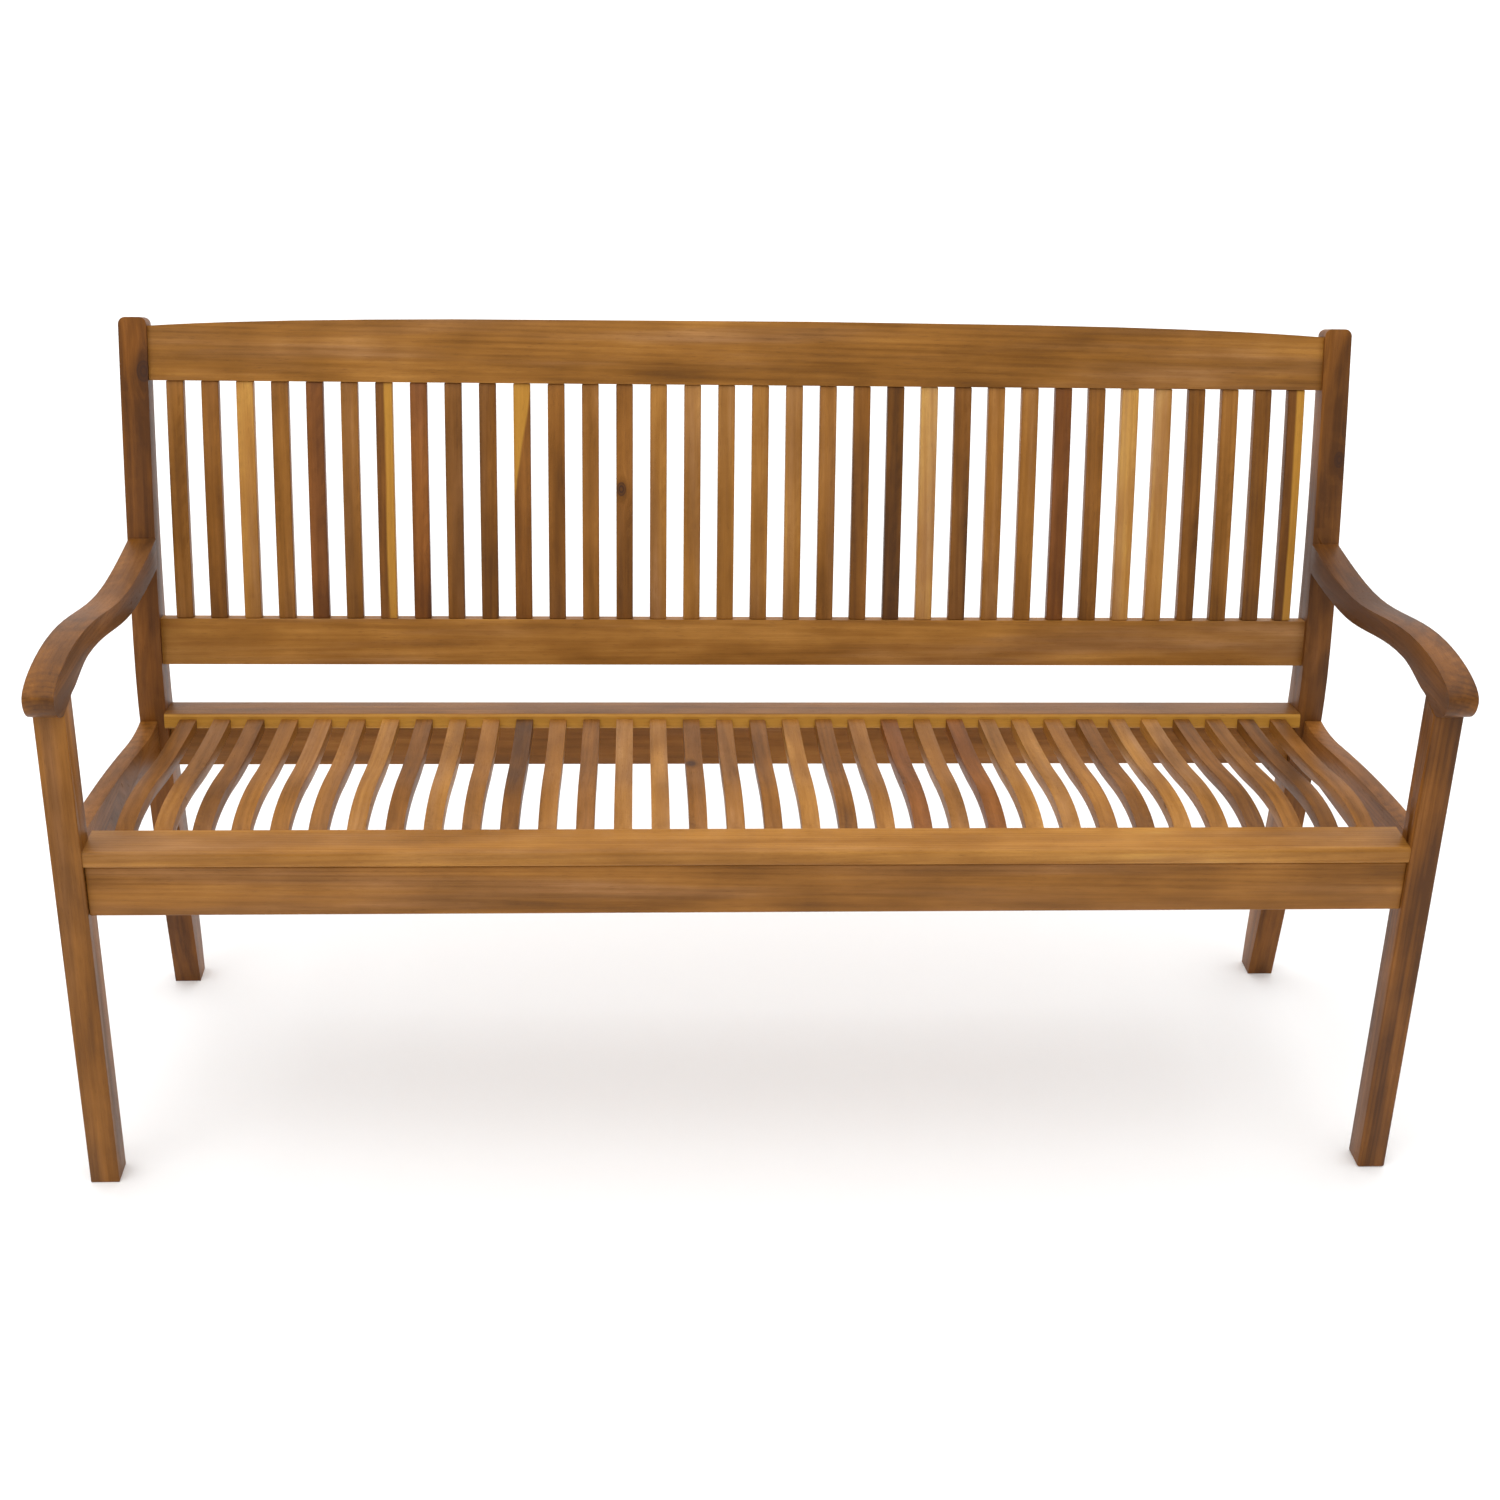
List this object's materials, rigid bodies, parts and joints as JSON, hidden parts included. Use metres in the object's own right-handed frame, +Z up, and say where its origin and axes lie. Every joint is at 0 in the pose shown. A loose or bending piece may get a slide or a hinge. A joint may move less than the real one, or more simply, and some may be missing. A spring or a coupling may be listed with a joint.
{
  "type": "garden bench",
  "caption": "Wooden garden bench with a slatted dished seat, a raked slatted back under an arched crest rail, and curved armrests with rounded noses.",
  "frame": {"origin": "on the floor, at the middle of the bench's overall box", "axes": "+Z up; +Y towards the back of the bench, so the front faces -Y; +X along the bench, towards a viewer's right when they face the front"},
  "size_m": [1.5724, 0.5634, 0.9173],
  "materials": {
    "leg_wood": "satin oil",
    "post_wood": "satin oil",
    "armrest_wood": "satin oil",
    "side_rail_wood": "satin oil",
    "apron_wood": "satin oil",
    "seat_rail_wood": "satin oil",
    "back_rail_wood": "satin oil",
    "seat_slat_wood": "satin oil",
    "back_slat_wood": "satin oil",
    "dowel_wood": "plain sanded",
    "bolt_steel": "zinc plated",
    "washer_steel": "zinc plated",
    "nut_steel": "zinc plated"
  },
  "bodies": {
    "root": {"front_leg_left": "leg_wood", "front_leg_right": "leg_wood", "rear_post_left": "post_wood", "rear_post_right": "post_wood", "armrest_left": "armrest_wood", "armrest_right": "armrest_wood", "side_rail_left": "side_rail_wood", "side_rail_right": "side_rail_wood", "front_apron": "apron_wood", "rear_apron": "apron_wood", "front_seat_rail": "seat_rail_wood", "rear_seat_rail": "seat_rail_wood", "lower_back_rail": "back_rail_wood", "crest_rail": "back_rail_wood", "seat_slats_01_02": "seat_slat_wood", "seat_slats_03_04": "seat_slat_wood", "seat_slats_05_06": "seat_slat_wood", "seat_slats_07_08": "seat_slat_wood", "seat_slats_09_10": "seat_slat_wood", "seat_slats_11_12": "seat_slat_wood", "seat_slats_13_14": "seat_slat_wood", "seat_slats_15_16": "seat_slat_wood", "seat_slats_17_18": "seat_slat_wood", "seat_slats_19_20": "seat_slat_wood", "seat_slats_21_22": "seat_slat_wood", "seat_slats_23_24": "seat_slat_wood", "seat_slats_25_26": "seat_slat_wood", "seat_slats_27_28": "seat_slat_wood", "seat_slats_29_30": "seat_slat_wood", "seat_slats_31_32": "seat_slat_wood", "seat_slats_33_34": "seat_slat_wood", "back_slats_01_02": "back_slat_wood", "back_slats_03_04": "back_slat_wood", "back_slats_05_06": "back_slat_wood", "back_slats_07_08": "back_slat_wood", "back_slats_09_10": "back_slat_wood", "back_slats_11_12": "back_slat_wood", "back_slats_13_14": "back_slat_wood", "back_slats_15_16": "back_slat_wood", "back_slats_17_18": "back_slat_wood", "back_slats_19_20": "back_slat_wood", "back_slats_21_22": "back_slat_wood", "back_slats_23_24": "back_slat_wood", "back_slats_25_26": "back_slat_wood", "back_slats_27_28": "back_slat_wood", "back_slats_29_30": "back_slat_wood", "back_slats_31_32": "back_slat_wood", "back_slats_33_34": "back_slat_wood", "frame_bolts": "bolt_steel", "bolt_washers": "washer_steel", "barrel_nuts": "nut_steel", "rail_dowels": "dowel_wood", "seat_dowels": "dowel_wood", "armrest_dowels": "dowel_wood"}
  },
  "joints": []
}
